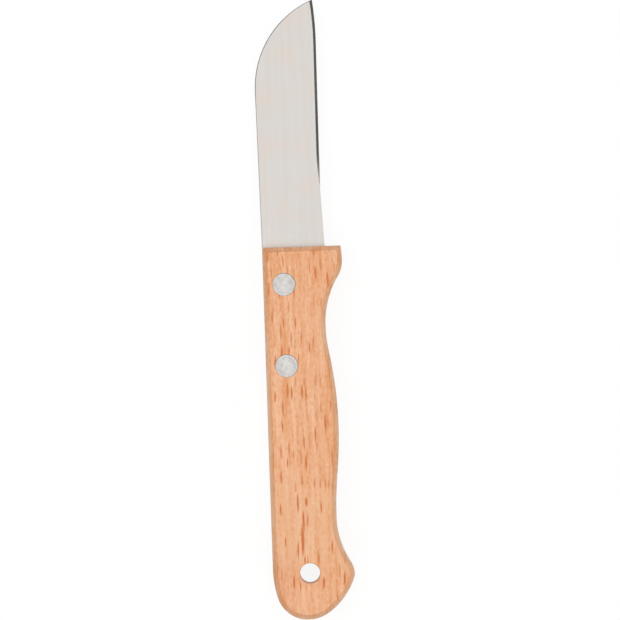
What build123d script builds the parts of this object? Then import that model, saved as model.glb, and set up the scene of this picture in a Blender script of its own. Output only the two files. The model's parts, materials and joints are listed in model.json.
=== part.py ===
from build123d import *
import os
from math import atan, cos, sin

os.makedirs("parts", exist_ok=True)

# The knife lies on its side: +Y runs to the tip, +X to the cutting edge and +Z through the
# thickness, with a flat side of the handle on Z = 0. Outlines are drawn from the corner where
# the handle's back line meets its front face: first across towards the edge, then along
# towards the tip. A width is measured from the back line, a setback back from the front face, a
# reach forward from it, and a rise forward from the butt's end.

# Whole knife
handle_length = 102.2
blade_length = 67.8
handle_thickness = 12.0
overrun = 2.0

# Handle outline
front_width = 21.5
guard_width = 21.8
guard_setback = 4.0
groove_width = 16.7
groove_setback = 21.6
swell_width = 19.35
swell_setback = 49.3
waist_width = 17.95
waist_rise = 27.8
beak_width = 22.45
beak_rise = 12.1
beak_radius = 2.0
cheek_radius = 19.4
butt_width = 9.4
butt_radius = 10.0
hip_radius = 8.6
hip_lead_radius = 30.0

# How far along each swing of the outline the curve turns over
guard_share = 0.25
groove_share = 0.27
swell_share = 0.50
waist_share = 0.80

# Handle edges and hanging hole
edge_chamfer = 1.25
edge_radius = 0.3
hole_diameter = 5.5
hole_width = 10.2
hole_rise = 12.7
hole_chamfer = 0.25

# Blade outline
blade_thickness = 1.2
back_bow = 0.5
point_length = 24.8
heel_width = 17.2
choil_width = 16.5
choil_reach = 15.7
belly_width = 16.7
belly_length = 11.5
tip_width = 16.0

# Blade grinding
edge_stock = 0.36
grind_reach = 7.7
grind_wheel_radius = 40.0
back_easing = 0.18
bevel_width = 0.7
edge_wear = 0.04
sharpening_wheel_radius = 70.0
sharpening_share = 0.256
sharpening_turn = 20.0  # in degrees

# Tang and slot
tang_width = 11.4
tang_length = 45.8
tang_run_out = 18.0
slot_face_gap = 0.05
slot_end_gap = 0.15

# Rivets
front_rivet_setback = 10.2
rear_rivet_margin = 13.3
head_diameter = 6.2
head_height = 1.1
head_sink = 0.04
head_gap = 0.05
crown_height = 0.04
rim_chamfer = 0.06
tube_diameter = 3.6
tube_floor = 0.8
pin_diameter = 2.5
pin_lead = 0.3
shank_gap = 0.1
pin_gap = 0.02
end_gap = 0.3

quarter_turn = 90  # in degrees

# The corner of the outlines, which centres the knife on X and Y
corner_x = (back_bow - beak_width) / 2
corner_y = (handle_length - blade_length) / 2
mid_height = handle_thickness / 2
rivet_width = tang_width / 2
rivet_setbacks = {"front_rivet": front_rivet_setback, "rear_rivet": tang_length - rear_rivet_margin}


def level(height):
    """The plane that outlines are drawn on, at a height above the handle's flat side."""
    return Plane(origin=(corner_x, corner_y, height))


def through(width, setback):
    """The place of a hole that runs through the handle's whole thickness, seen from above."""
    return Location((corner_x + width, corner_y - setback, handle_thickness))


def swing(start, end, share):
    """Two arcs in an S whose ends both run along the knife."""
    turnover = Vector(*start) + (Vector(*end) - Vector(*start)) * share
    first = TangentArc(start, turnover, tangent=(0, -1))
    return TangentArc(turnover, end, tangent=first % 1)


# Handle: one piece of beech, milled to its outline and chamfered all round
front_corner = (front_width, 0)
guard = (guard_width, -guard_setback)
groove = (groove_width, -groove_setback)
swell = (swell_width, -swell_setback)
waist = (waist_width, waist_rise - handle_length)
beak = (beak_width, beak_rise - handle_length)
butt = (butt_width, -handle_length)
shank_radius = tube_diameter / 2 + shank_gap
seat_radius = head_diameter / 2 + head_gap
seat_depth = head_height + head_sink
slot_width = tang_width + slot_end_gap
slot_length = tang_length + slot_end_gap


def is_sharp(edge):
    """An edge of the front face or of a chamfer; the others are seams in the smooth sides."""
    return edge.bounding_box().size.Z < edge_radius or edge.center().Y > corner_y - edge_chamfer


with BuildPart() as handle:
    with BuildSketch(level(0)):
        with BuildLine():
            TangentArc(guard, front_corner, tangent=(0, 1))
            swing(guard, groove, guard_share)
            swing(groove, swell, groove_share)
            swing(swell, waist, swell_share)
            swing(waist, beak, waist_share)
            # The butt is one run of arcs, each tangent to the next, from the beak to the back line
            beak_round = JernArc(beak, (0, -1), beak_radius, -quarter_turn, mode=Mode.PRIVATE)
            butt_round = JernArc(butt, (1, 0), butt_radius, quarter_turn, mode=Mode.PRIVATE)
            cheek = ConstrainedArcs(
                (butt_round, Tangency.ENCLOSING),
                (beak_round, Tangency.ENCLOSING),
                radius=cheek_radius,
                mode=Mode.PRIVATE,
            )
            TangentArc(beak, cheek @ 1, tangent=(0, -1))
            TangentArc(cheek @ 0, cheek @ 1, tangent=cheek % 0)
            TangentArc(butt, cheek @ 0, tangent=(1, 0))
            hip_round = JernArc(butt, (-1, 0), hip_radius, -quarter_turn, mode=Mode.PRIVATE)
            back_line = Line((0, 0), (0, -handle_length), mode=Mode.PRIVATE)
            hip_lead = ConstrainedArcs(
                (hip_round, Tangency.ENCLOSING),
                back_line,
                radius=hip_lead_radius,
                mode=Mode.PRIVATE,
            )
            TangentArc(butt, hip_lead @ 1, tangent=(-1, 0))
            TangentArc(hip_lead @ 0, hip_lead @ 1, tangent=(0, -1))
            Polyline(hip_lead @ 0, (0, 0), front_corner)
        make_face()
    extrude(amount=handle_thickness)
    chamfer(handle.faces().sort_by(Axis.Z)[-1].edges(), edge_chamfer)
    chamfer(handle.faces().sort_by(Axis.Z)[0].edges(), edge_chamfer)
    fillet(handle.edges().filter_by(is_sharp), edge_radius)

    with Locations(through(hole_width, handle_length - hole_rise)):
        Hole(hole_diameter / 2)
    hole_rims = handle.edges().filter_by(GeomType.CIRCLE).filter_by(lambda rim: rim.is_closed)
    chamfer(hole_rims, hole_chamfer)

    # Each rivet hole has a seat for a head in both faces
    for setback in rivet_setbacks.values():
        upper_seat = through(rivet_width, setback)
        lower_seat = upper_seat * Pos(0, 0, -handle_thickness) * Rot(180, 0, 0)
        with Locations(upper_seat, lower_seat):
            CounterBoreHole(shank_radius, seat_radius, seat_depth)

    # The slot is milled by a disc, from the front face and the back line
    with BuildSketch(level(mid_height)):
        with BuildLine():
            slot_turn = (slot_width, tang_run_out - tang_length)
            TangentArc(slot_turn, (0, -slot_length), tangent=(0, -1))
            Polyline((0, -slot_length), (-overrun, -slot_length), (-overrun, overrun))
            Polyline((-overrun, overrun), (slot_width, overrun), slot_turn)
        make_face()
    extrude(amount=blade_thickness / 2 + slot_face_gap, both=True, mode=Mode.SUBTRACT)

handle.part.label = "handle"
export_step(handle.part, "parts/handle.step")


# Blade: one blank of steel with its half tang, ground from both faces and sharpened
bow = (-back_bow, blade_length - point_length)
tip = (tip_width, blade_length)
belly = (belly_width, blade_length - belly_length)
choil = (choil_width, choil_reach)
heel = (heel_width, 0)
shoulder = (tang_width, 0)
tang_turn = (tang_width, tang_run_out - tang_length)
tang_end = (0, -tang_length)
grind_slope = (blade_thickness - edge_stock) / 2 / (belly_width + back_bow)
taper = atan(grind_slope)
bevel_height = edge_stock / 2 + bevel_width * grind_slope


def worn(point):
    """A point of the cutting edge, set back by what honing has taken off."""
    return (point[0] - edge_wear, point[1])


with BuildPart() as blade:
    with BuildSketch(level(mid_height)):
        with BuildLine():
            back_line = Line((0, 0), bow)
            TangentArc(bow, tip, tangent=back_line % 1)
            edge_line = Line(choil, belly)
            TangentArc(belly, tip, tangent=edge_line % 1)
            Polyline(choil, heel, shoulder, tang_turn)
            TangentArc(tang_turn, tang_end, tangent=(0, -1))
            Line(tang_end, (0, 0))
        make_face()
    extrude(amount=blade_thickness / 2, both=True)

    # Both faces taper from the back to the edge, and run out in front of the handle
    grind_plane = Plane(
        origin=(corner_x - back_bow, corner_y, mid_height + blade_thickness / 2),
        x_dir=(0, 1, 0),
        z_dir=(cos(taper), 0, -sin(taper)),
    )
    grind_end = blade_length + overrun
    run_out = (grind_reach - grind_wheel_radius, grind_wheel_radius)
    with BuildSketch(grind_plane):
        with BuildLine():
            TangentArc((grind_reach, 0), run_out, tangent=(-1, 0))
            Polyline((grind_reach, 0), (grind_end, 0), (grind_end, grind_wheel_radius), run_out)
        make_face()
    upper_grind = extrude(amount=heel_width + back_bow + overrun, mode=Mode.SUBTRACT)
    mirror(upper_grind, about=level(mid_height), mode=Mode.SUBTRACT)

    # The sharp corners of both ground faces are broken along the back and round to the point
    with BuildLine(Plane.XY) as ground_outline:
        ground_back = Line((back_bow, 0), (0, blade_length - point_length))
        TangentArc(ground_back @ 1, (tip_width + back_bow, blade_length), tangent=ground_back % 1)
    ground_face = Plane(grind_plane.origin, x_dir=grind_plane.z_dir, z_dir=grind_plane.y_dir)
    back_path = ground_face.from_local_coords(ground_outline.wires()[0])
    along_back = back_path % 0
    inward = along_back.cross(ground_face.z_dir)
    with BuildSketch(Plane(back_path @ 0, x_dir=inward, z_dir=along_back)):
        with BuildLine():
            Polyline(
                (back_easing + overrun, -overrun),
                (-overrun, -overrun),
                (-overrun, back_easing + overrun),
                close=True,
            )
        make_face()
    upper_easing = sweep(path=back_path, mode=Mode.PRIVATE)
    lower_easing = upper_easing.mirror(level(mid_height))
    add([upper_easing, lower_easing], mode=Mode.SUBTRACT)

    # The cutting bevels follow the edge from the tip and fade out short of the heel
    with BuildLine(level(mid_height)) as sharpening:
        honed = Line(worn(choil), worn(belly), mode=Mode.PRIVATE)
        straight = Line(honed @ sharpening_share, honed @ 1)
        JernArc(straight @ 0, straight % 0 * -1, sharpening_wheel_radius, sharpening_turn)
        curved = TangentArc(straight @ 1, worn(tip), tangent=straight % 1)
        PolarLine(curved @ 1, overrun, direction=curved % 1)
    edge_path = sharpening.wires()[0]
    into_cut = edge_path % 0
    wheel_plane = Plane(edge_path @ 0, x_dir=into_cut.cross(Vector(0, 0, 1)), z_dir=into_cut)
    with BuildSketch(wheel_plane):
        with BuildLine():
            Polyline(
                (0, 0),
                (-2 * bevel_width, 2 * bevel_height),
                (overrun, 2 * bevel_height),
                (overrun, -2 * bevel_height),
                (-2 * bevel_width, -2 * bevel_height),
                close=True,
            )
        make_face()
    sweep(path=edge_path, mode=Mode.SUBTRACT)

    for setback in rivet_setbacks.values():
        with Locations(through(rivet_width, setback)):
            Hole(shank_radius)

blade.part.label = "blade"
export_step(blade.part, "parts/blade.step")


# Rivets: a tube on one head takes the pin on the other, and closes on the handle as they meet
seat_height = head_sink + head_height
tube_top = handle_thickness - seat_height - end_gap
bore_bottom = seat_height + tube_floor
rim_height = head_sink + crown_height
rim_radius = head_diameter / 2 - rim_chamfer

for rivet, setback in rivet_setbacks.items():
    rivet_axis = Axis((corner_x + rivet_width, corner_y - setback, 0), (0, 0, 1))
    section = Plane(origin=rivet_axis.position, x_dir=(1, 0, 0), z_dir=(0, -1, 0))

    with BuildPart() as socket:
        with BuildSketch(section):
            with BuildLine():
                TangentArc((0, head_sink), (rim_radius, rim_height), tangent=(1, 0))
                Polyline(
                    (rim_radius, rim_height),
                    (head_diameter / 2, rim_height + rim_chamfer),
                    (head_diameter / 2, seat_height),
                    (tube_diameter / 2, seat_height),
                    (tube_diameter / 2, tube_top),
                    (pin_diameter / 2 + pin_gap, tube_top),
                    (pin_diameter / 2 + pin_gap, bore_bottom),
                    (0, bore_bottom),
                    (0, head_sink),
                )
            make_face()
        revolve(axis=rivet_axis)
    socket.part.label = f"{rivet}_socket"
    export_step(socket.part, f"parts/{rivet}_socket.step")

    upper = handle_thickness
    with BuildPart() as pin:
        with BuildSketch(section):
            with BuildLine():
                TangentArc((0, upper - head_sink), (rim_radius, upper - rim_height), tangent=(1, 0))
                Polyline(
                    (rim_radius, upper - rim_height),
                    (head_diameter / 2, upper - rim_height - rim_chamfer),
                    (head_diameter / 2, upper - seat_height),
                    (pin_diameter / 2, upper - seat_height),
                    (pin_diameter / 2, bore_bottom + end_gap + pin_lead),
                    (pin_diameter / 2 - pin_lead, bore_bottom + end_gap),
                    (0, bore_bottom + end_gap),
                    (0, upper - head_sink),
                )
            make_face()
        revolve(axis=rivet_axis)
    pin.part.label = f"{rivet}_pin"
    export_step(pin.part, f"parts/{rivet}_pin.step")
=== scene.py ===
import json
from math import cos, pi, radians, sin

import bpy
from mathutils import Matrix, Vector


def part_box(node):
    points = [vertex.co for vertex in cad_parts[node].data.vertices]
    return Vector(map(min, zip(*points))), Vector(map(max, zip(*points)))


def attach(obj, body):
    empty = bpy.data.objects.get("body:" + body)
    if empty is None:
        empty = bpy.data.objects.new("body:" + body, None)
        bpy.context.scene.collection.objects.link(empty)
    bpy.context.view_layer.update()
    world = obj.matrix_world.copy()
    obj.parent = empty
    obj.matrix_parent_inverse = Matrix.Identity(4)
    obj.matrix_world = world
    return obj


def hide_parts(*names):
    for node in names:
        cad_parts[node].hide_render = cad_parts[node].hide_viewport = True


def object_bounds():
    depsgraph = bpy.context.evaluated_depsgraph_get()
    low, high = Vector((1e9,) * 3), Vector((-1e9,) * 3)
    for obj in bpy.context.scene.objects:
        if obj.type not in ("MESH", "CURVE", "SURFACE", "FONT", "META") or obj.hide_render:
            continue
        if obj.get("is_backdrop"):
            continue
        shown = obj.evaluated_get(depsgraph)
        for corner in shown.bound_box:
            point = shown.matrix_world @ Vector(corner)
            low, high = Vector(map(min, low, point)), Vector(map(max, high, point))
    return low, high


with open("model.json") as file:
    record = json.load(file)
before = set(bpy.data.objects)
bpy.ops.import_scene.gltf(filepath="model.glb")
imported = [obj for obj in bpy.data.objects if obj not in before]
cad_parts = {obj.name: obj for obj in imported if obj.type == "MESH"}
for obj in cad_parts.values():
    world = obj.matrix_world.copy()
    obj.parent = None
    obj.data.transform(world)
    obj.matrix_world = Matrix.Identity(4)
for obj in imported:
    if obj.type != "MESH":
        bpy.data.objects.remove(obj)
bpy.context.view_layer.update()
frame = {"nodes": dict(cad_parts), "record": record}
nodes = frame["nodes"]


# Blade: one blank of stainless steel, with the half tang that the handle hides. Its two faces
# are satin ground along the knife, and the cutting edge is ground across it on a finer wheel,
# which leaves the narrow bevel smoother than the face. The bevel's darker colour is painted
# reflection of the dark room it mirrors.
millimetre = 0.001
steel_tone = (0.490, 0.466, 0.442, 1)
steel_streak_tone = (0.480, 0.449, 0.421, 1)
warm_smear_tone = (1.025, 0.985, 0.965, 1)
cool_smear_tone = (0.985, 1.010, 1.030, 1)
smear_size = 7.0
warm_smears = (0.52, 0.66)
cool_smears = (0.48, 0.34)
# Painted reflection: the bevel's darker colour stands in for the dark room that it mirrors
bevel_painted_reflection_tone = (0.43, 0.415, 0.40, 1)
# Painted shade on the back wall, darker still on its curve down to the point
back_painted_shade_tone = (0.42, 0.405, 0.39, 1)
point_painted_shade_tone = (0.11, 0.106, 0.102, 1)
curve_start = (50.0, 66.0)
curve_end = (82.5, 78.5)
back_turn = (-0.05, -0.35)
steel_roughness = (0.30, 0.42)
bevel_smoothness = 0.19
brushed_anisotropy = 0.5
brushed_band_width = 1.4
brushed_band_length = 60.0
brushed_band_contrast = (0.3, 0.7)
brush_mark_width = 0.07
brush_mark_length = 9.0
brush_mark_depth = 0.0012
bevel_tilt = (0.985, 0.972)
bevel_fade = (32.0, 44.0)


def new_material(name):
    """An empty material, its node tree, its shader and the place on the knife in millimetres."""
    material = bpy.data.materials.new(name)
    material.use_nodes = True
    tree = material.node_tree
    tree.nodes.clear()
    shader = add(tree, "ShaderNodeBsdfPrincipled")
    add(tree, "ShaderNodeOutputMaterial", {"Surface": shader.outputs[0]})
    place = add(tree, "ShaderNodeTexCoord").outputs["Object"]
    place = add(tree, "ShaderNodeVectorMath", {0: place, "Scale": 1 / millimetre}, operation="SCALE")
    return material, tree, shader, place.outputs[0]


def add(tree, kind, inputs={}, **settings):
    """A node with its settings made, and its inputs filled by values or by other nodes' sockets."""
    node = tree.nodes.new(kind)
    for name, value in settings.items():
        setattr(node, name, value)
    for key, value in inputs.items():
        if isinstance(value, bpy.types.NodeSocket):
            tree.links.new(value, node.inputs[key])
        else:
            node.inputs[key].default_value = value
    return node


def maths(tree, operation, *values):
    """One sum on numbers."""
    return add(tree, "ShaderNodeMath", dict(enumerate(values)), operation=operation).outputs[0]


def split(tree, vector):
    """The three parts of a vector."""
    return add(tree, "ShaderNodeSeparateXYZ", {0: vector}).outputs


def stretched(tree, vector, *sizes):
    """A vector counted in these sizes along its three axes."""
    inputs = {0: vector, 1: tuple(1 / size for size in sizes)}
    return add(tree, "ShaderNodeVectorMath", inputs, operation="MULTIPLY").outputs[0]


def ramp(tree, value, start, end, low=0.0, high=1.0):
    """A value turned smoothly from low at start to high at end, and held there past both."""
    inputs = {"Value": value, "From Min": start, "From Max": end, "To Min": low, "To Max": high}
    return add(tree, "ShaderNodeMapRange", inputs, interpolation_type="SMOOTHSTEP").outputs[0]


def blend(tree, share, first, second, how="MIX"):
    """Two colours mixed by a share of the second."""
    inputs = {"Factor": share, 6: first, 7: second}
    return add(tree, "ShaderNodeMix", inputs, data_type="RGBA", blend_type=how).outputs[2]


def grain(tree, place, width, length, depth, detail=2.0):
    """Streaks along the knife: a noise between 0 and 1, drawn out to these sizes in millimetres."""
    inputs = {"Vector": stretched(tree, place, width, length, depth), "Scale": 1.0, "Detail": detail}
    return add(tree, "ShaderNodeTexNoise", inputs).outputs[0]


def upright(tree):
    """How far a surface faces up or down: 1 on the flat sides, and 0 on the walls."""
    normal = add(tree, "ShaderNodeNewGeometry").outputs["Normal"]
    return maths(tree, "ABSOLUTE", split(tree, normal)["Z"])


def relief(tree, shader, height, depth):
    """Fine unevenness of a surface, this many millimetres deep."""
    inputs = {"Height": height, "Distance": depth * millimetre}
    tree.links.new(add(tree, "ShaderNodeBump", inputs).outputs[0], shader.inputs["Normal"])


def ground_steel():
    material, tree, shader, place = new_material("ground_stainless_steel")
    flatness = upright(tree)
    normal = split(tree, add(tree, "ShaderNodeNewGeometry").outputs["Normal"])
    on_back = ramp(tree, normal["X"], *back_turn)
    along = split(tree, place)["Y"]
    on_bevel = ramp(tree, flatness, *bevel_tilt)
    on_bevel = maths(tree, "MULTIPLY", on_bevel, ramp(tree, along, *bevel_fade))
    bands = grain(tree, place, brushed_band_width, brushed_band_length, brushed_band_length)
    tone = blend(tree, ramp(tree, bands, *brushed_band_contrast), steel_streak_tone, steel_tone)
    inputs = {"Vector": place, "Scale": 1 / smear_size, "Detail": 3.0}
    smears = add(tree, "ShaderNodeTexNoise", inputs).outputs[0]
    tone = blend(tree, ramp(tree, smears, *warm_smears), tone, warm_smear_tone, "MULTIPLY")
    tone = blend(tree, ramp(tree, smears, *cool_smears), tone, cool_smear_tone, "MULTIPLY")
    # Painted reflection on the bevel
    tone = blend(tree, on_bevel, tone, bevel_painted_reflection_tone)

    # Painted shade: the back wall is darker than the faces, and near black on its curve to the point
    on_curve = maths(tree, "MULTIPLY", ramp(tree, along, *curve_start), ramp(tree, along, *curve_end))
    walls = blend(tree, on_curve, back_painted_shade_tone, point_painted_shade_tone)
    tone = blend(tree, on_back, tone, walls)
    tree.links.new(tone, shader.inputs["Base Color"])

    marks = grain(tree, place, brush_mark_width, brush_mark_length, brush_mark_width, 3.0)
    smoothest, roughest = steel_roughness
    rough = maths(tree, "MULTIPLY_ADD", marks, roughest - smoothest, smoothest)
    rough = maths(tree, "MULTIPLY_ADD", on_bevel, -bevel_smoothness, rough)
    tree.links.new(rough, shader.inputs["Roughness"])
    shader.inputs["Metallic"].default_value = 1.0
    shader.inputs["Anisotropic"].default_value = brushed_anisotropy
    across = add(tree, "ShaderNodeCombineXYZ", {0: 1.0}).outputs[0]
    tree.links.new(across, shader.inputs["Tangent"])
    relief(tree, shader, marks, brush_mark_depth)
    return material


blade = nodes["blade"]
blade.material_slots[0].material = ground_steel()


# Handle: one piece of beech, flat sawn, milled to its outline, chamfered, sanded and given a
# satin varnish. The dark spindles are the wood's rays, which the flat sides cut across.
handle_low, handle_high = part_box("handle")
handle_thickness = (handle_high[2] - handle_low[2]) / millimetre
handle_front = handle_high[1] / millimetre
hanging_hole = next(mount for mount in frame["record"]["mounts"] if mount["name"] == "hanging_hole")
hole_place = tuple(length / millimetre for length in hanging_hole["pos_m"][:2])
hole_rim = 0.35
hole_rim_fade = 0.3
beech_tone = (0.725, 0.350, 0.170, 1)
beech_light_tone = (0.775, 0.433, 0.245, 1)
beech_dark_tone = (0.665, 0.268, 0.090, 1)
ray_tone = (0.548, 0.130, 0.007, 1)
pale_tone = (1.014, 1.090, 1.165, 1)
pale_start = (-40.0, -54.0)
pale_end = (-74.0, -66.0)
pale_butt_share = 0.1
calm_share = 0.35
ruddy_tone = (0.965, 0.915, 0.905, 1)
ruddy_place = (-8.0, -74.0)
ruddy_size = (6.0, 11.0)
ruddy_solid_share = 0.3
# Painted shade: the chamfers' darker colour stands in for the light they turn away from
chamfer_painted_shade_tone = (0.870, 0.900, 0.905, 1)
inner_edge_tone = (0.86, 0.78, 0.72, 1)
# Painted reflection: the outer part of each chamfer is greyer and bluer, for the bright room it mirrors
outer_edge_painted_reflection_tone = (0.94, 1.08, 1.32, 1)
outer_edge_drop = (0.40, 1.10)
# Painted highlight: a lighter line on the flat sides just behind the front chamfer
front_edge_painted_highlight_tone = (1.00, 1.08, 1.15, 1)
front_edge = (1.60, 1.45)  # how far behind the front it starts and ends
# Painted light: the chamfers facing the blade are made lighter to lift their shading
front_chamfer_painted_light_tone = (1.085, 1.045, 1.055, 1)
end_grain_tone = (0.93, 0.88, 0.83, 1)
# How far the surface faces up, forwards or back, where each kind of surface starts and ends
flat_turn = (0.985, 0.999)
chamfer_turn = (0.97, 0.85)
inner_edge_turns = ((0.99, 0.93), (0.72, 0.85))
wall_turn = (0.60, 0.30)
front_turn = (0.40, 0.65)
butt_turn = (-0.40, -0.65)
ring_thickness = 1.1
ring_reach = 14.0
ring_share = 0.46
wall_fleck_share = 0.22
wall_lift = 0.16
wander_size = 40.0
wander_reach = 2.0
figure_middle = 0.505
dark_figure = 0.420
light_figure = 0.590
band_width = 3.2
band_length = 70.0
band_share = 0.24
streak_width = 1.2
streak_length = 24.0
streak_share = 0.30
fibre_width = 0.40
fibre_length = 5.0
fibre_share = 0.22
fleck_width = 0.45
fleck_length = 1.1
fleck_share = 0.24
pore_width = 0.09
pore_length = 1.3
pore_depth = 0.012
pore_contrast = (0.30, 0.45)
ray_relief_share = 0.4
varnish_roughness = (0.40, 0.60)
varnish_coat = 0.25
varnish_coat_roughness = 0.32
ray_pointedness = 1.4
ray_rim = (1.0, 0.6)
faintest_ray = 0.55
ray_spacing = (1.45, 10.4)
ray_reach = (0.17, 0.28)
ray_share = 0.80
small_ray_spacing = (0.8, 4.6)
small_ray_reach = (0.12, 0.22)
small_ray_share = 0.28
small_ray_strength = 0.5
sparse_start = (-45.0, -52.0)
sparse_share = 0.38
edge_ray_share = 0.2
edge_ray_turn = (0.75, 0.92)
# The rays round the hole, each with its place and size
single_rays = (
    ((-2.50, -63.1), (0.60, 5.6)),
    ((-2.14, -57.6), (0.40, 3.6)),
    ((-2.07, -68.6), (0.32, 1.3)),
    ((-1.17, -52.7), (0.50, 1.7)),
    ((-3.51, -52.9), (0.38, 3.6)),
    ((-5.23, -74.6), (0.40, 2.3)),
    ((2.94, -75.0), (0.45, 2.1)),
)
single_ray_solid_share = 0.55
spindle_depth = 40.0


def strewn_rays(tree, place, spacing, reach, share):
    """Rays strewn over the flat sides: the spacing of their cells, how far each reaches from its
    middle as a share of that, and the share of the cells that hold one."""
    cells = stretched(tree, place, *spacing, 1.0)
    inputs = {"Vector": cells, "Scale": 1.0, "Exponent": ray_pointedness}
    cell = add(tree, "ShaderNodeTexVoronoi", inputs, distance="MINKOWSKI", voronoi_dimensions="2D")
    chance = add(tree, "ShaderNodeSeparateColor", {0: cell.outputs["Color"]}).outputs
    size = ramp(tree, chance[0], 0.0, 1.0, *reach)
    away = maths(tree, "DIVIDE", cell.outputs["Distance"], size)
    depth = ramp(tree, chance[1], 0.0, 1.0, faintest_ray, 1.0)
    depth = maths(tree, "MULTIPLY", depth, maths(tree, "LESS_THAN", chance[2], share))
    return maths(tree, "MULTIPLY", ramp(tree, away, *ray_rim), depth)


def spindle(tree, place, middle, size, solid_share):
    """One spindle round its middle: 1 within this share of its size, and 0 past its rim."""
    shifted = add(tree, "ShaderNodeVectorMath", {0: place, 1: (*middle, 0.0)}, operation="SUBTRACT")
    inputs = {0: stretched(tree, shifted.outputs[0], *size, spindle_depth)}
    away = add(tree, "ShaderNodeVectorMath", inputs, operation="LENGTH").outputs["Value"]
    return ramp(tree, away, 1.0, solid_share)


def varnished_beech():
    material, tree, shader, place = new_material("varnished_beech")
    inputs = {"Vector": place, "Scale": 1 / wander_size, "Detail": 2.0}
    sway = add(tree, "ShaderNodeTexNoise", inputs).outputs["Color"]
    inputs = {0: sway, 1: (2 * wander_reach, 0.0, 2 * wander_reach), 2: place}
    wandered = add(tree, "ShaderNodeVectorMath", inputs, operation="MULTIPLY_ADD").outputs[0]

    # Broad bands of the growth rings, streaks between them, and fibres and flecks over all
    bands = grain(tree, wandered, band_width, band_length, band_width * 2)
    streaks = grain(tree, wandered, streak_width, streak_length, streak_width * 3)
    fibres = grain(tree, wandered, fibre_width, fibre_length, fibre_width * 3)
    flecks = grain(tree, wandered, fleck_width, fleck_length, fleck_width, 1.0)
    figure = maths(tree, "MULTIPLY", bands, band_share)
    figure = maths(tree, "MULTIPLY_ADD", streaks, streak_share, figure)
    figure = maths(tree, "MULTIPLY_ADD", fibres, fibre_share, figure)
    figure = maths(tree, "MULTIPLY_ADD", flecks, fleck_share, figure)

    # The wood is paler and calmer ahead of the hole
    along = split(tree, place)["Y"]
    pale = ramp(tree, along, *pale_end, pale_butt_share, 1.0)
    pale = maths(tree, "MULTIPLY", ramp(tree, along, *pale_start), pale)
    inputs = {"Factor": maths(tree, "MULTIPLY", pale, calm_share), 2: figure, 3: figure_middle}
    figure = add(tree, "ShaderNodeMix", inputs).outputs[0]

    # The growth rings lie nearly flat, so the walls cut them into fine lines along the handle
    flatness = upright(tree)
    rings = grain(tree, wandered, ring_reach, band_length, ring_thickness, 3.0)
    wall_flecks = maths(tree, "MULTIPLY_ADD", flecks, wall_fleck_share, wall_lift)
    rings = maths(tree, "MULTIPLY_ADD", rings, ring_share, wall_flecks)
    on_wall = ramp(tree, flatness, *wall_turn)
    figure = add(tree, "ShaderNodeMix", {"Factor": on_wall, 2: figure, 3: rings}).outputs[0]

    # This figure darkens and lightens the wood, and the butt's back corner is redder
    wood = blend(tree, ramp(tree, figure, figure_middle, dark_figure), beech_tone, beech_dark_tone)
    wood = blend(tree, ramp(tree, figure, figure_middle, light_figure), wood, beech_light_tone)
    wood = blend(tree, pale, wood, pale_tone, "MULTIPLY")
    ruddy = spindle(tree, place, ruddy_place, ruddy_size, ruddy_solid_share)
    wood = blend(tree, ruddy, wood, ruddy_tone, "MULTIPLY")

    # Rays large and small, fewer from the middle of the handle to its butt, and few on its edges
    density = ramp(tree, along, *sparse_start, 1.0, sparse_share)
    share = maths(tree, "MULTIPLY", density, ray_share)
    rays = strewn_rays(tree, wandered, ray_spacing, ray_reach, share)
    share = maths(tree, "MULTIPLY", density, small_ray_share)
    small = strewn_rays(tree, wandered, small_ray_spacing, small_ray_reach, share)
    rays = maths(tree, "MAXIMUM", rays, maths(tree, "MULTIPLY", small, small_ray_strength))
    for middle, size in single_rays:
        single = spindle(tree, place, middle, size, single_ray_solid_share)
        rays = maths(tree, "MAXIMUM", rays, single)
    off_edge = ramp(tree, flatness, *edge_ray_turn, edge_ray_share, 1.0)
    rays = maths(tree, "MULTIPLY", rays, off_edge)
    wood = blend(tree, rays, wood, ray_tone)

    # Painted shade darkens the milled chamfers, and a darker line runs along the rounding between the
    # flat side and the chamfer. End grain drinks the finish. The hole's rim is left out of these tones.
    rim_radius = hanging_hole["dims"]["r_mm"] + hole_rim
    inputs = {0: place, 1: (*hole_place, 0.0)}
    from_hole = add(tree, "ShaderNodeVectorMath", inputs, operation="SUBTRACT").outputs[0]
    inputs = {0: from_hole, 1: (1.0, 1.0, 0.0)}
    from_hole = add(tree, "ShaderNodeVectorMath", inputs, operation="MULTIPLY").outputs[0]
    from_hole = add(tree, "ShaderNodeVectorMath", {0: from_hole}, operation="LENGTH").outputs["Value"]
    off_rim = ramp(tree, from_hole, rim_radius, rim_radius + hole_rim_fade)
    shaded_chamfer = maths(tree, "MULTIPLY", ramp(tree, flatness, *chamfer_turn), off_rim)
    wood = blend(tree, shaded_chamfer, wood, chamfer_painted_shade_tone, "MULTIPLY")
    edge_start, edge_end = (ramp(tree, flatness, *turn) for turn in inner_edge_turns)
    inner_edge = maths(tree, "MULTIPLY", maths(tree, "MULTIPLY", edge_start, edge_end), off_rim)
    wood = blend(tree, inner_edge, wood, inner_edge_tone, "MULTIPLY")
    # Painted reflection on the outer part of the chamfers, greyer and bluer
    drop = maths(tree, "SUBTRACT", split(tree, place)["Z"], handle_thickness / 2)
    drop = maths(tree, "SUBTRACT", handle_thickness / 2, maths(tree, "ABSOLUTE", drop))
    outer_edge_reflection = maths(tree, "MULTIPLY", ramp(tree, drop, *outer_edge_drop), off_rim)
    outer_edge_reflection = maths(tree, "MULTIPLY", outer_edge_reflection, maths(tree, "SUBTRACT", 1.0, on_wall))
    wood = blend(tree, outer_edge_reflection, wood, outer_edge_painted_reflection_tone, "MULTIPLY")
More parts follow.
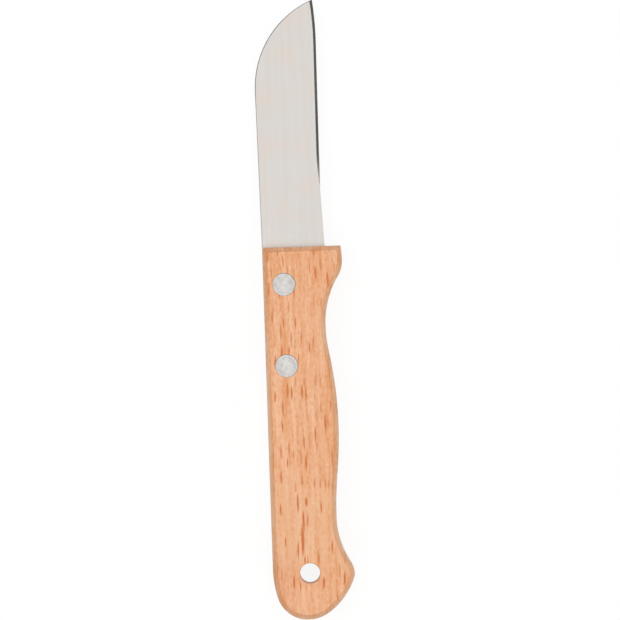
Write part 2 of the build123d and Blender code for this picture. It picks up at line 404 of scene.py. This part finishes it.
    # Painted highlight along the front edge of the flat sides
    front_edge_highlight = ramp(tree, along, *(handle_front - behind for behind in front_edge))
    front_edge_highlight = maths(tree, "MULTIPLY", front_edge_highlight, ramp(tree, flatness, *flat_turn))
    wood = blend(tree, front_edge_highlight, wood, front_edge_painted_highlight_tone, "MULTIPLY")
    normal = split(tree, add(tree, "ShaderNodeNewGeometry").outputs["Normal"])
    # Painted light on the chamfers that face the blade
    facing_front = maths(tree, "MULTIPLY", ramp(tree, normal["Y"], *front_turn), off_rim)
    wood = blend(tree, facing_front, wood, front_chamfer_painted_light_tone, "MULTIPLY")
    facing_butt = maths(tree, "MULTIPLY", ramp(tree, normal["Y"], *butt_turn), off_rim)
    wood = blend(tree, facing_butt, wood, end_grain_tone, "MULTIPLY")
    tree.links.new(wood, shader.inputs["Base Color"])

    smoothest, roughest = varnish_roughness
    rough = maths(tree, "MULTIPLY_ADD", fibres, roughest - smoothest, smoothest)
    tree.links.new(rough, shader.inputs["Roughness"])
    shader.inputs["Coat Weight"].default_value = varnish_coat
    shader.inputs["Coat Roughness"].default_value = varnish_coat_roughness
    pores = grain(tree, wandered, pore_width, pore_length, pore_width, 1.0)
    sunk_rays = maths(tree, "MULTIPLY", rays, ray_relief_share)
    surface = maths(tree, "SUBTRACT", ramp(tree, pores, *pore_contrast), sunk_rays)
    relief(tree, shader, surface, pore_depth)
    return material


handle = nodes["handle"]
handle.material_slots[0].material = varnished_beech()


# Rivets: two cutlery rivets of aluminium, each a pin pressed into a tube. Their heads are turned
# on a lathe, which leaves fine rings, a lip near the rim and the pip of the lathe's centre.
head_height = 1.1
crown_height = 0.04
rim_chamfer = 0.06
lip_radius = 2.42
lip_width = 0.14
lip_depth = 0.02
lip_shade_share = 1.2
pip_radius = 0.45
pip_depth = 0.015
ring_pitch = 0.24
ring_depth = 0.0016
ring_contrast = (0.35, 0.65)
pin_diameter = 2.5
pin_lead = 0.3
tube_diameter = 3.6
tube_floor = 0.8
bore_diameter = 2.54
face_rings = 60
around = 96
off_centre = (-0.03, -0.03)
sharp_turn = radians(30)
turned_tone = (0.480, 0.466, 0.450, 1)
turned_dark_tone = (0.432, 0.416, 0.399, 1)
# Painted highlight at the centre of each head
centre_painted_highlight_tone = (0.500, 0.490, 0.480, 1)
centre_highlight_reach = (2.0, 0.5)
# Painted reflection: the band outside the lip is cooler and a little darker
outer_band_painted_reflection_tone = (0.452, 0.454, 0.450, 1)
# Painted shade in the groove of the lip
lip_painted_shade_tone = (0.432, 0.422, 0.410, 1)
# Painted light: the chamfered rim of each head is made much lighter
rim_painted_light_tone = (0.80, 0.80, 0.79, 1)
rim_reach = (3.02, 3.05)
# Darker patches: partly mottling of the metal, partly painted sheen of the turned face
mottle_and_sheen_tone = (0.820, 0.805, 0.800, 1)
patch_contrast = (0.58, 0.36)
patches_per_mm = 0.9
turned_roughness = 0.26
ring_roughness = 0.08
patch_roughness = 0.10
turned_anisotropy = 0.65
weld_distance = 0.002


def turned_aluminium():
    material, tree, shader, place = new_material("turned_aluminium")
    from_axis = add(tree, "ShaderNodeAttribute", attribute_name="from_axis").outputs["Vector"]
    from_axis = stretched(tree, from_axis, millimetre, millimetre, millimetre)
    flat = add(tree, "ShaderNodeVectorMath", {0: from_axis, 1: (1.0, 1.0, 0.0)}, operation="MULTIPLY")
    radius = add(tree, "ShaderNodeVectorMath", {0: flat.outputs[0]}, operation="LENGTH").outputs["Value"]

    # Rings of the tool, no two alike, and a painted highlight at the centre
    inputs = {"W": maths(tree, "DIVIDE", radius, ring_pitch), "Scale": 1.0, "Detail": 3.0}
    rings = add(tree, "ShaderNodeTexNoise", inputs, noise_dimensions="1D").outputs[0]
    tone = blend(tree, ramp(tree, rings, *ring_contrast), turned_dark_tone, turned_tone)
    tone = blend(tree, ramp(tree, radius, *centre_highlight_reach), tone, centre_painted_highlight_tone)
    # Painted reflection on the band outside the lip
    tone = blend(tree, ramp(tree, radius, lip_radius, lip_radius + 2 * lip_width), tone, outer_band_painted_reflection_tone)
    # Painted shade in the lip's groove
    off_lip = maths(tree, "ABSOLUTE", maths(tree, "SUBTRACT", radius, lip_radius))
    tone = blend(tree, ramp(tree, off_lip, lip_shade_share * lip_width, 0.0), tone, lip_painted_shade_tone)
    # Painted light on the rim
    tone = blend(tree, ramp(tree, radius, *rim_reach), tone, rim_painted_light_tone)
    # Patches of mottling and painted sheen
    inputs = {"Vector": place, "Scale": patches_per_mm, "Detail": 4.0, "Roughness": 0.6}
    patches = add(tree, "ShaderNodeTexNoise", inputs).outputs[0]
    tone = blend(tree, ramp(tree, patches, *patch_contrast), tone, mottle_and_sheen_tone, "MULTIPLY")
    tree.links.new(tone, shader.inputs["Base Color"])
    rough = maths(tree, "MULTIPLY_ADD", rings, ring_roughness, turned_roughness)
    rough = maths(tree, "MULTIPLY_ADD", patches, patch_roughness, rough)
    tree.links.new(rough, shader.inputs["Roughness"])
    shader.inputs["Metallic"].default_value = 1.0
    shader.inputs["Anisotropic"].default_value = turned_anisotropy
    outwards = add(tree, "ShaderNodeVectorMath", {0: flat.outputs[0]}, operation="NORMALIZE")
    tree.links.new(outwards.outputs[0], shader.inputs["Tangent"])
    relief(tree, shader, rings, ring_depth)
    return material


def lathe():
    """Half a rivet, turned about its axis: its face in rings from the centre to the rim, and then
    its sides, from corner to corner, to the end of its shank and into its bore."""
    tree = bpy.data.node_groups.new("turned_rivet", "GeometryNodeTree")
    lengths = ("Head Radius", "Head Height", "Crown", "Rim", "Lip Radius", "Lip Width", "Lip Depth",
               "Pip Radius", "Pip Depth", "Ring Pitch", "Ring Depth", "Shank Radius", "Shank End",
               "Core Radius", "Core Start", "Core End", "Facing")
    for name in lengths:
        tree.interface.new_socket(name, in_out="INPUT", socket_type="NodeSocketFloat")
    tree.interface.new_socket("Place", in_out="INPUT", socket_type="NodeSocketVector")
    tree.interface.new_socket("Material", in_out="INPUT", socket_type="NodeSocketMaterial")
    tree.interface.new_socket("Rivet", in_out="OUTPUT", socket_type="NodeSocketGeometry")
    size = add(tree, "NodeGroupInput").outputs

    # Face: how high it lies at each radius, down from the top of its crown
    rim_radius = maths(tree, "SUBTRACT", size["Head Radius"], size["Rim"])
    corners = (
        (size["Head Radius"], maths(tree, "ADD", size["Crown"], size["Rim"])),
        (size["Head Radius"], size["Head Height"]),
        (size["Shank Radius"], size["Head Height"]),
        (size["Shank Radius"], size["Shank End"]),
        (size["Core Radius"], size["Core Start"]),
        (size["Core Radius"], size["Core End"]),
        (0.0, size["Core End"]),
    )
    rows = face_rings + len(corners)
    inputs = {"Size X": rows, "Size Y": around, "Vertices X": rows + 1, "Vertices Y": around + 1}
    sheet = add(tree, "GeometryNodeMeshGrid", inputs).outputs["Mesh"]
    at = split(tree, add(tree, "GeometryNodeInputPosition").outputs[0])
    row = maths(tree, "ADD", at["X"], rows / 2)
    angle = maths(tree, "MULTIPLY", at["Y"], 2 * pi / around)
    share = maths(tree, "DIVIDE", row, face_rings)
    radius = maths(tree, "MULTIPLY", share, rim_radius)
    sunk = maths(tree, "MULTIPLY", maths(tree, "POWER", share, 2.0), size["Crown"])
    turns = maths(tree, "MULTIPLY", maths(tree, "DIVIDE", radius, size["Ring Pitch"]), 2 * pi)
    ripple = maths(tree, "MULTIPLY_ADD", maths(tree, "COSINE", turns), -0.5, 0.5)
    sunk = maths(tree, "MULTIPLY_ADD", ripple, size["Ring Depth"], sunk)
    off_lip = maths(tree, "ABSOLUTE", maths(tree, "SUBTRACT", radius, size["Lip Radius"]))
    off_lip = maths(tree, "DIVIDE", off_lip, size["Lip Width"])
    sunk = maths(tree, "MULTIPLY_ADD", ramp(tree, off_lip, 1.0, 0.0), size["Lip Depth"], sunk)
    off_pip = maths(tree, "DIVIDE", radius, size["Pip Radius"])
    sunk = maths(tree, "MULTIPLY_ADD", ramp(tree, off_pip, 1.0, 0.0), size["Pip Depth"], sunk)

    # Sides: each row past the face goes to the next corner
    outline = add(tree, "GeometryNodeIndexSwitch", data_type="VECTOR")
    for _ in range(len(corners) - 1):
        outline.index_switch_items.new()
    past = maths(tree, "MAXIMUM", maths(tree, "SUBTRACT", row, face_rings), 0.0)
    past = add(tree, "FunctionNodeFloatToInt", {0: past}, rounding_mode="ROUND").outputs[0]
    tree.links.new(past, outline.inputs["Index"])
    for count, (out, down) in enumerate(((radius, sunk), *corners)):
        corner = add(tree, "ShaderNodeCombineXYZ", {"X": out, "Z": down}).outputs[0]
        tree.links.new(corner, outline.inputs[1 + count])
    out, _, down = split(tree, outline.outputs[0])
    aside = maths(tree, "MULTIPLY", out, maths(tree, "SINE", angle))
    up = maths(tree, "MULTIPLY", down, -1.0)
    inputs = {
        "X": maths(tree, "MULTIPLY", out, maths(tree, "COSINE", angle)),
        "Y": maths(tree, "MULTIPLY", aside, size["Facing"]),
        "Z": maths(tree, "MULTIPLY", up, size["Facing"]),
    }
    turned = add(tree, "ShaderNodeCombineXYZ", inputs).outputs[0]
    rivet = add(tree, "GeometryNodeSetPosition", {0: sheet, "Position": turned}).outputs[0]
    inputs = {0: rivet, "Distance": weld_distance * millimetre}
    rivet = add(tree, "GeometryNodeMergeByDistance", inputs).outputs[0]

    # Smooth surfaces between sharp corners
    inputs = {0: rivet, "Shade Smooth": True}
    rivet = add(tree, "GeometryNodeSetShadeSmooth", inputs, domain="FACE").outputs[0]
    turn = add(tree, "GeometryNodeInputMeshEdgeAngle").outputs["Unsigned Angle"]
    soft = add(tree, "FunctionNodeCompare", {0: turn, 1: sharp_turn}, operation="LESS_THAN").outputs[0]
    inputs = {0: rivet, "Shade Smooth": soft}
    rivet = add(tree, "GeometryNodeSetShadeSmooth", inputs, domain="EDGE").outputs[0]

    # Place on the knife, with each point's own place about the axis kept for the finish
    from_axis = add(tree, "GeometryNodeInputPosition").outputs[0]
    inputs = {0: rivet, "Name": "from_axis", "Value": from_axis}
    rivet = add(tree, "GeometryNodeStoreNamedAttribute", inputs, data_type="FLOAT_VECTOR").outputs[0]
    rivet = add(tree, "GeometryNodeSetPosition", {0: rivet, "Offset": size["Place"]}).outputs[0]
    rivet = add(tree, "GeometryNodeRealizeInstances", {0: rivet}).outputs[0]
    inputs = {0: rivet, "Material": size["Material"]}
    rivet = add(tree, "GeometryNodeSetMaterial", inputs).outputs[0]
    add(tree, "NodeGroupOutput", {0: rivet})
    return tree


def turn_piece(name, tree, sizes):
    """A finished piece, turned by the lathe's tree from these sizes."""
    piece = bpy.data.objects.new(name, bpy.data.meshes.new(f"{name}_blank"))
    bpy.context.scene.collection.objects.link(piece)
    chuck = piece.modifiers.new("lathe", "NODES")
    chuck.node_group = tree
    for socket in tree.interface.items_tree:
        if socket.in_out == "INPUT":
            chuck[socket.identifier] = sizes[socket.name]
    graph = bpy.context.evaluated_depsgraph_get()
    finished = bpy.data.meshes.new_from_object(piece.evaluated_get(graph), depsgraph=graph)
    piece.modifiers.remove(chuck)
    piece.data = finished
    return piece


rivet_finish = turned_aluminium()
rivet_lathe = lathe()
for rivet in ("front_rivet", "rear_rivet"):
    for half in ("pin", "socket"):
        low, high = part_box(f"{rivet}_{half}")
        length = high[2] - low[2]
        facing = 1 if half == "pin" else -1
        face_level = high[2] if half == "pin" else low[2]
        sizes = {
            "Head Radius": (high[0] - low[0]) / 2,
            "Head Height": head_height * millimetre,
            "Crown": crown_height * millimetre,
            "Rim": rim_chamfer * millimetre,
            "Lip Radius": lip_radius * millimetre,
            "Lip Width": lip_width * millimetre,
            "Lip Depth": lip_depth * millimetre,
            "Pip Radius": pip_radius * millimetre,
            "Pip Depth": pip_depth * millimetre,
            "Ring Pitch": ring_pitch * millimetre,
            "Ring Depth": ring_depth * millimetre,
            "Facing": float(facing),
            "Place": ((low[0] + high[0]) / 2 + off_centre[0] * millimetre,
                      (low[1] + high[1]) / 2 + off_centre[1] * millimetre, face_level),
            "Material": rivet_finish,
        }
        if half == "pin":
            sizes["Shank Radius"] = pin_diameter / 2 * millimetre
            sizes["Shank End"] = length - pin_lead * millimetre
            sizes["Core Radius"] = (pin_diameter / 2 - pin_lead) * millimetre
            sizes["Core Start"] = length
            sizes["Core End"] = length
        else:
            sizes["Shank Radius"] = tube_diameter / 2 * millimetre
            sizes["Shank End"] = length
            sizes["Core Radius"] = bore_diameter / 2 * millimetre
            sizes["Core Start"] = length
            sizes["Core End"] = (head_height + tube_floor) * millimetre
        piece = turn_piece(f"turned_{rivet}_{half}", rivet_lathe, sizes)
        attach(piece, "root")
        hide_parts(f"{rivet}_{half}")


# Floor: a plain white table under the knife. The camera and the metal see it close to white,
# with the knife's soft shadow on it.
floor_reach = 3.0
floor_tone = (0.80, 0.80, 0.80, 1)
shadow_share = 0.10

floor_mesh = bpy.data.meshes.new("floor")
corners = [(x * floor_reach, y * floor_reach, 0) for x, y in ((-1, -1), (1, -1), (1, 1), (-1, 1))]
floor_mesh.from_pydata(corners, [], [(0, 1, 2, 3)])
floor = bpy.data.objects.new("floor", floor_mesh)
bpy.context.scene.collection.objects.link(floor)
floor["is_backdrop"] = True

material = bpy.data.materials.new("white_table")
material.use_nodes = True
tree = material.node_tree
tree.nodes.clear()
lit = add(tree, "ShaderNodeBsdfDiffuse", {"Color": floor_tone}).outputs[0]
shadowed = add(tree, "ShaderNodeBsdfDiffuse", {"Color": (shadow_share,) * 3 + (1,)}).outputs[0]
glow = add(tree, "ShaderNodeEmission", {"Strength": 1 - shadow_share}).outputs[0]
white = add(tree, "ShaderNodeAddShader", {0: shadowed, 1: glow}).outputs[0]
ray = add(tree, "ShaderNodeLightPath").outputs
seen = maths(tree, "MAXIMUM", ray["Is Camera Ray"], ray["Is Glossy Ray"])
surface = add(tree, "ShaderNodeMixShader", {0: seen, 1: lit, 2: white}).outputs[0]
add(tree, "ShaderNodeOutputMaterial", {"Surface": surface})
floor_mesh.materials.append(material)


# Light: an even pale room and one wide soft box overhead, a little to the left. Past the box on
# the right is a dark strip of ceiling, which the ground bevel mirrors, and the low part of the
# room is darker beyond the blade and to the right.
room_light = 0.80
strip_depth = 0.90
strip_rise = (0.42, 0.52)
strip_fall = (0.80, 0.95)
window_boost = 0.80
window_rise = (0.90, 1.20)
low_room_depth = 0.45
low_room_middle = radians(65)
low_room_width = (-0.10, 0.60)
low_room_height = (0.50, 0.10)
lowest_rise = 0.05
box_size = (1.9, 2.4)
box_place = (-0.35, 0.0, 1.5)
box_power = 13.0

world = bpy.data.worlds.new("room")
bpy.context.scene.world = world
world.use_nodes = True
tree = world.node_tree
tree.nodes.clear()
towards = split(tree, add(tree, "ShaderNodeTexCoord").outputs["Generated"])
rise = maths(tree, "MAXIMUM", towards["Z"], lowest_rise)
lean = maths(tree, "DIVIDE", towards["X"], rise)
strip = maths(tree, "MULTIPLY", ramp(tree, lean, *strip_rise), ramp(tree, lean, *reversed(strip_fall)))
strip = maths(tree, "MULTIPLY", strip, strip_depth)
aside = maths(tree, "MULTIPLY", towards["X"], cos(low_room_middle))
aside = maths(tree, "MULTIPLY_ADD", towards["Y"], sin(low_room_middle), aside)
low_room = maths(tree, "MULTIPLY", ramp(tree, aside, *low_room_width),
                 ramp(tree, towards["Z"], *low_room_height))
low_room = maths(tree, "MULTIPLY", low_room, low_room_depth)
dimmed = maths(tree, "SUBTRACT", 1.0, maths(tree, "MAXIMUM", strip, low_room))
strength = maths(tree, "MULTIPLY", dimmed, room_light)
window = maths(tree, "MULTIPLY_ADD", ramp(tree, lean, *window_rise), window_boost, 1.0)
strength = maths(tree, "MULTIPLY", strength, window)
seen = add(tree, "ShaderNodeLightPath").outputs["Is Camera Ray"]
strength = maths(tree, "MAXIMUM", strength, seen)
background = add(tree, "ShaderNodeBackground", {"Color": (1, 1, 1, 1), "Strength": strength})
add(tree, "ShaderNodeOutputWorld", {"Surface": background.outputs[0]})

box = bpy.data.lights.new("soft_box", "AREA")
box.shape = "RECTANGLE"
box.size, box.size_y = box_size
box.energy = box_power
soft_box = bpy.data.objects.new("soft_box", box)
soft_box.location = box_place
bpy.context.scene.collection.objects.link(soft_box)


# Camera: straight above the knife, far off on a long lens, and turned a little so that the knife
# leans to the left as in the photograph
camera_middle = (1.61 * millimetre, -0.23 * millimetre)
camera_height = 2.1
camera_turn = -1.94
view_width = 170.25 * millimetre
view_level = 6.0 * millimetre

camera_data = bpy.data.cameras.new("camera")
camera_data.lens = camera_data.sensor_width * camera_height / view_width
camera = bpy.data.objects.new("camera", camera_data)
camera.location = (*camera_middle, view_level + camera_height)
camera.rotation_euler = (0, 0, radians(camera_turn))
bpy.context.scene.collection.objects.link(camera)
bpy.context.scene.camera = camera
bpy.context.scene.view_settings.view_transform = "Standard"

low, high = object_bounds()
